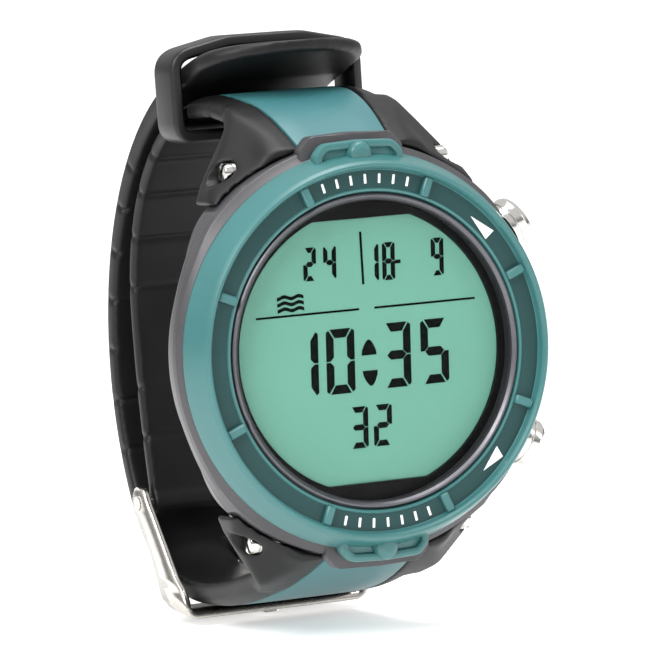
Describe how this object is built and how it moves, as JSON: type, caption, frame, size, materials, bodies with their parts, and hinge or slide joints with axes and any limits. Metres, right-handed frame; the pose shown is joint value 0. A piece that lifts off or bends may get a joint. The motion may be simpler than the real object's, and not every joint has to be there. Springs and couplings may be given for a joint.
{
  "type": "wrist dive computer",
  "caption": "Round wrist dive computer with a ring bezel, segment display, side push buttons and a buckled two-part rubber strap.",
  "frame": {"origin": "centre of the back cover's flat face, which rests on the wrist", "axes": "+Z towards 12 o'clock, +X towards 3 o'clock and the buttons, -Y out of the display"},
  "size_m": [0.0492, 0.0603, 0.0733],
  "materials": {
    "case_plastic": "satin moulded, dark grey",
    "teal_plastic": "satin moulded, blue green",
    "steel": "polished",
    "crystal": "clear",
    "seal_rubber": "matt",
    "mask_plastic": "matt black",
    "display_glass": "reflective green display",
    "white_plastic": "moulded white",
    "zebra_rubber": "striped elastomer",
    "board": "solder-masked laminate",
    "chip": "moulded epoxy",
    "tray_plastic": "moulded black",
    "cell_steel": "nickel plated",
    "spring_steel": "spring steel",
    "brass": "disc",
    "strap_rubber": "satin moulded",
    "teal_rubber": "satin moulded, blue green",
    "keeper_rubber": "satin moulded"
  },
  "bodies": {
    "case": {"case_body": "case_plastic", "bezel": "teal_plastic", "retaining_ring": "steel", "crystal": "crystal", "crystal_gasket": "seal_rubber", "dial_mask": "mask_plastic", "display": "display_glass", "backlight": "white_plastic", "connector_strips": "zebra_rubber", "display_frame": "white_plastic", "main_board": "board", "board_chips": "chip", "battery_tray": "tray_plastic", "coin_cell": "cell_steel", "battery_spring": "spring_steel", "buzzer": "brass", "pressure_sensor": "steel", "sensor_seal": "seal_rubber", "sensor_cover": "steel", "back_cover": "case_plastic", "back_gasket": "seal_rubber", "back_screws": "steel", "battery_cap": "tray_plastic", "battery_cap_seal": "seal_rubber", "upper_strap": "strap_rubber", "upper_insert": "teal_rubber", "lower_strap": "strap_rubber", "lower_insert": "teal_rubber", "upper_lug_tube": "steel", "lower_lug_tube": "steel", "upper_strap_screws": "steel", "lower_strap_screws": "steel", "buckle_pin": "steel", "top_button_sleeve": "brass", "top_button_seals": "seal_rubber", "top_button_spring": "spring_steel", "bottom_button_sleeve": "brass", "bottom_button_seals": "seal_rubber", "bottom_button_spring": "spring_steel"},
    "top_button": {"top_button": "steel", "top_button_clip": "spring_steel"},
    "bottom_button": {"bottom_button": "steel", "bottom_button_clip": "spring_steel"},
    "buckle": {"buckle_frame": "steel"},
    "tongue": {"buckle_tongue": "steel"},
    "keeper": {"keeper": "keeper_rubber"}
  },
  "joints": [
    {"name": "top_button_push", "type": "slide", "parent": "case", "child": "top_button", "axis": [-0.8526, 0, -0.5225], "range_m": [0, 0.001], "stiffness_N_per_m": 1500, "springref_m": -0.0005, "deforming": ["top_button_spring"]},
    {"name": "bottom_button_push", "type": "slide", "parent": "case", "child": "bottom_button", "axis": [-0.8526, 0, 0.5225], "range_m": [0, 0.001], "stiffness_N_per_m": 1500, "springref_m": -0.0005, "deforming": ["bottom_button_spring"]},
    {"name": "buckle_hinge", "type": "hinge", "parent": "case", "child": "buckle", "pos_m": [0, 0.03224, -0.0202], "axis": [1, 0, 0], "range_deg": [0, 10]},
    {"name": "tongue_hinge", "type": "hinge", "parent": "buckle", "child": "tongue", "pos_m": [0, 0.03224, -0.0202], "axis": [1, 0, 0], "range_deg": [0, 8]},
    {"name": "keeper_slide", "type": "hinge", "parent": "case", "child": "keeper", "pos_m": [0, 0.0085, 0.004], "axis": [-1, 0, 0], "range_deg": [0, 9]}
  ]
}
